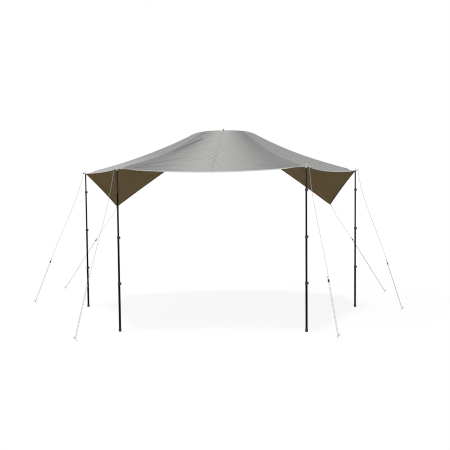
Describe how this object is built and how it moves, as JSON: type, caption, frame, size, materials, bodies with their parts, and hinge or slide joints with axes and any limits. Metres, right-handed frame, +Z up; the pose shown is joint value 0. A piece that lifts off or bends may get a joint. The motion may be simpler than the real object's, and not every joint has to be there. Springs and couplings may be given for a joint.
{
  "type": "rooftop tent awning",
  "caption": "Free-span fabric awning hung from a rooftop tent's arched end, with side wings, telescopic corner poles, guy lines and pegs.",
  "frame": {"origin": "middle of the canopy's arched edge, where the centre hook is sewn", "axes": "+Z up, +Y towards the tent that holds the arched edge, +X to the right seen from the awning's near edge"},
  "size_m": [5.6552, 3.7648, 2.9266],
  "materials": {
    "canopy_cloth": "woven polycotton, grey outside and brown inside",
    "wing_cloth": "woven polycotton, dark brown",
    "pale_webbing": "off-white webbing",
    "dark_webbing": "black webbing",
    "dark_plastic": "moulded, satin",
    "pole_top_finish": "dark blue-grey anodised tube",
    "pole_black_finish": "black coated tube",
    "bright_steel": "zinc plated wire",
    "guy_cord": "braided off-white cord"
  },
  "bodies": {
    "canopy_and_lines": {"canopy": "canopy_cloth", "centre_hook": "dark_plastic", "centre_strap": "pale_webbing", "hem_toggle": "dark_plastic", "left_clip": "dark_plastic", "near_left_guy_line": "guy_cord", "near_left_peg": "bright_steel", "near_left_tab": "pale_webbing", "near_right_guy_line": "guy_cord", "near_right_peg": "bright_steel", "near_right_tab": "pale_webbing", "outer_left_guy_line": "guy_cord", "outer_left_peg": "bright_steel", "outer_left_tab": "dark_webbing", "outer_right_guy_line": "guy_cord", "outer_right_peg": "bright_steel", "outer_right_tab": "dark_webbing", "right_clip": "dark_plastic", "wing_left": "wing_cloth", "wing_left_guy_line": "guy_cord", "wing_left_peg": "bright_steel", "wing_left_ring": "bright_steel", "wing_right": "wing_cloth", "wing_right_guy_line": "guy_cord", "wing_right_peg": "bright_steel", "wing_right_ring": "bright_steel"},
    "near_left_section_1": {"near_left_tube_1": "pole_top_finish"},
    "near_left_section_2": {"near_left_tube_2": "pole_black_finish"},
    "near_left_section_3": {"near_left_tube_3": "pole_black_finish"},
    "near_left_section_4": {"near_left_tube_4": "pole_black_finish"},
    "near_left_cam_1": {"near_left_lever_1": "dark_plastic"},
    "near_left_cam_2": {"near_left_lever_2": "dark_plastic"},
    "near_left_cam_3": {"near_left_lever_3": "dark_plastic"},
    "near_right_section_1": {"near_right_tube_1": "pole_top_finish"},
    "near_right_section_2": {"near_right_tube_2": "pole_black_finish"},
    "near_right_section_3": {"near_right_tube_3": "pole_black_finish"},
    "near_right_section_4": {"near_right_tube_4": "pole_black_finish"},
    "near_right_cam_1": {"near_right_lever_1": "dark_plastic"},
    "near_right_cam_2": {"near_right_lever_2": "dark_plastic"},
    "near_right_cam_3": {"near_right_lever_3": "dark_plastic"},
    "outer_left_section_1": {"outer_left_tube_1": "pole_top_finish"},
    "outer_left_section_2": {"outer_left_tube_2": "pole_black_finish"},
    "outer_left_section_3": {"outer_left_tube_3": "pole_black_finish"},
    "outer_left_section_4": {"outer_left_tube_4": "pole_black_finish"},
    "outer_left_cam_1": {"outer_left_lever_1": "dark_plastic"},
    "outer_left_cam_2": {"outer_left_lever_2": "dark_plastic"},
    "outer_left_cam_3": {"outer_left_lever_3": "dark_plastic"},
    "outer_right_section_1": {"outer_right_tube_1": "pole_top_finish"},
    "outer_right_section_2": {"outer_right_tube_2": "pole_black_finish"},
    "outer_right_section_3": {"outer_right_tube_3": "pole_black_finish"},
    "outer_right_section_4": {"outer_right_tube_4": "pole_black_finish"},
    "outer_right_cam_1": {"outer_right_lever_1": "dark_plastic"},
    "outer_right_cam_2": {"outer_right_lever_2": "dark_plastic"},
    "outer_right_cam_3": {"outer_right_lever_3": "dark_plastic"},
    "near_left_slider": {"near_left_tensioner": "dark_plastic"},
    "near_right_slider": {"near_right_tensioner": "dark_plastic"},
    "outer_left_slider": {"outer_left_tensioner": "dark_plastic"},
    "outer_right_slider": {"outer_right_tensioner": "dark_plastic"},
    "wing_left_slider": {"wing_left_tensioner": "dark_plastic"},
    "wing_right_slider": {"wing_right_tensioner": "dark_plastic"}
  },
  "joints": [
    {"name": "near_left_tilt", "type": "hinge", "parent": "canopy_and_lines", "child": "near_left_section_1", "pos_m": [-1.145, -2.95, -0.7561], "axis": [0.7598, -0.6501, 0], "range_deg": [-6, 14]},
    {"name": "near_left_slide_1", "type": "slide", "parent": "near_left_section_1", "child": "near_left_section_2", "axis": [0, 0, 1], "range_m": [0, 0.22]},
    {"name": "near_left_lever_1_turn", "type": "hinge", "parent": "near_left_section_2", "child": "near_left_cam_1", "pos_m": [-1.1255, -2.95, -1.0255], "axis": [0, 0, 1], "range_deg": [0, 110]},
    {"name": "near_left_slide_2", "type": "slide", "parent": "near_left_section_2", "child": "near_left_section_3", "axis": [0, 0, 1], "range_m": [0, 0.53]},
    {"name": "near_left_lever_2_turn", "type": "hinge", "parent": "near_left_section_3", "child": "near_left_cam_2", "pos_m": [-1.124, -2.95, -1.5905], "axis": [0, 0, 1], "range_deg": [0, 110]},
    {"name": "near_left_slide_3", "type": "slide", "parent": "near_left_section_3", "child": "near_left_section_4", "axis": [0, 0, 1], "range_m": [0, 0.53]},
    {"name": "near_left_lever_3_turn", "type": "hinge", "parent": "near_left_section_4", "child": "near_left_cam_3", "pos_m": [-1.1225, -2.95, -2.1555], "axis": [0, 0, 1], "range_deg": [0, 110]},
    {"name": "near_right_tilt", "type": "hinge", "parent": "canopy_and_lines", "child": "near_right_section_1", "pos_m": [1.145, -2.95, -0.7561], "axis": [0.689, 0.7248, 0], "range_deg": [-6, 14]},
    {"name": "near_right_slide_1", "type": "slide", "parent": "near_right_section_1", "child": "near_right_section_2", "axis": [0, 0, 1], "range_m": [0, 0.22]},
    {"name": "near_right_lever_1_turn", "type": "hinge", "parent": "near_right_section_2", "child": "near_right_cam_1", "pos_m": [1.1645, -2.95, -1.0255], "axis": [0, 0, 1], "range_deg": [0, 110]},
    {"name": "near_right_slide_2", "type": "slide", "parent": "near_right_section_2", "child": "near_right_section_3", "axis": [0, 0, 1], "range_m": [0, 0.53]},
    {"name": "near_right_lever_2_turn", "type": "hinge", "parent": "near_right_section_3", "child": "near_right_cam_2", "pos_m": [1.166, -2.95, -1.5905], "axis": [0, 0, 1], "range_deg": [0, 110]},
    {"name": "near_right_slide_3", "type": "slide", "parent": "near_right_section_3", "child": "near_right_section_4", "axis": [0, 0, 1], "range_m": [0, 0.53]},
    {"name": "near_right_lever_3_turn", "type": "hinge", "parent": "near_right_section_4", "child": "near_right_cam_3", "pos_m": [1.1675, -2.95, -2.1555], "axis": [0, 0, 1], "range_deg": [0, 110]},
    {"name": "outer_left_tilt", "type": "hinge", "parent": "canopy_and_lines", "child": "outer_left_section_1", "pos_m": [-1.99, -1.35, -0.7561], "axis": [-0.3074, -0.9516, 0], "range_deg": [-6, 14]},
    {"name": "outer_left_slide_1", "type": "slide", "parent": "outer_left_section_1", "child": "outer_left_section_2", "axis": [0, 0, 1], "range_m": [0, 0.22]},
    {"name": "outer_left_lever_1_turn", "type": "hinge", "parent": "outer_left_section_2", "child": "outer_left_cam_1", "pos_m": [-1.9705, -1.35, -1.0255], "axis": [0, 0, 1], "range_deg": [0, 110]},
    {"name": "outer_left_slide_2", "type": "slide", "parent": "outer_left_section_2", "child": "outer_left_section_3", "axis": [0, 0, 1], "range_m": [0, 0.53]},
    {"name": "outer_left_lever_2_turn", "type": "hinge", "parent": "outer_left_section_3", "child": "outer_left_cam_2", "pos_m": [-1.969, -1.35, -1.5905], "axis": [0, 0, 1], "range_deg": [0, 110]},
    {"name": "outer_left_slide_3", "type": "slide", "parent": "outer_left_section_3", "child": "outer_left_section_4", "axis": [0, 0, 1], "range_m": [0, 0.53]},
    {"name": "outer_left_lever_3_turn", "type": "hinge", "parent": "outer_left_section_4", "child": "outer_left_cam_3", "pos_m": [-1.9675, -1.35, -2.1555], "axis": [0, 0, 1], "range_deg": [0, 110]},
    {"name": "outer_right_tilt", "type": "hinge", "parent": "canopy_and_lines", "child": "outer_right_section_1", "pos_m": [1.99, -1.35, -0.7561], "axis": [0.4129, 0.9108, 0], "range_deg": [-6, 14]},
    {"name": "outer_right_slide_1", "type": "slide", "parent": "outer_right_section_1", "child": "outer_right_section_2", "axis": [0, 0, 1], "range_m": [0, 0.22]},
    {"name": "outer_right_lever_1_turn", "type": "hinge", "parent": "outer_right_section_2", "child": "outer_right_cam_1", "pos_m": [2.0095, -1.35, -1.0255], "axis": [0, 0, 1], "range_deg": [0, 110]},
    {"name": "outer_right_slide_2", "type": "slide", "parent": "outer_right_section_2", "child": "outer_right_section_3", "axis": [0, 0, 1], "range_m": [0, 0.53]},
    {"name": "outer_right_lever_2_turn", "type": "hinge", "parent": "outer_right_section_3", "child": "outer_right_cam_2", "pos_m": [2.011, -1.35, -1.5905], "axis": [0, 0, 1], "range_deg": [0, 110]},
    {"name": "outer_right_slide_3", "type": "slide", "parent": "outer_right_section_3", "child": "outer_right_section_4", "axis": [0, 0, 1], "range_m": [0, 0.53]},
    {"name": "outer_right_lever_3_turn", "type": "hinge", "parent": "outer_right_section_4", "child": "outer_right_cam_3", "pos_m": [2.0125, -1.35, -2.1555], "axis": [0, 0, 1], "range_deg": [0, 110]},
    {"name": "near_left_tensioner_slide", "type": "slide", "parent": "canopy_and_lines", "child": "near_left_slider", "axis": [-0.1837, -0.2207, -0.9579], "range_m": [-0.02, 0.1]},
    {"name": "near_right_tensioner_slide", "type": "slide", "parent": "canopy_and_lines", "child": "near_right_slider", "axis": [0.153, -0.14, -0.9783], "range_m": [-0.02, 0.1]},
    {"name": "outer_left_tensioner_slide", "type": "slide", "parent": "canopy_and_lines", "child": "outer_left_slider", "axis": [-0.4078, 0.1279, -0.9041], "range_m": [-0.02, 0.1]},
    {"name": "outer_right_tensioner_slide", "type": "slide", "parent": "canopy_and_lines", "child": "outer_right_slider", "axis": [0.2818, -0.1235, -0.9515], "range_m": [-0.02, 0.1]},
    {"name": "wing_left_tensioner_slide", "type": "slide", "parent": "canopy_and_lines", "child": "wing_left_slider", "axis": [-0.5719, 0.3494, -0.7422], "range_m": [-0.02, 0.1]},
    {"name": "wing_right_tensioner_slide", "type": "slide", "parent": "canopy_and_lines", "child": "wing_right_slider", "axis": [0.5318, 0.1668, -0.8303], "range_m": [-0.02, 0.1]}
  ]
}
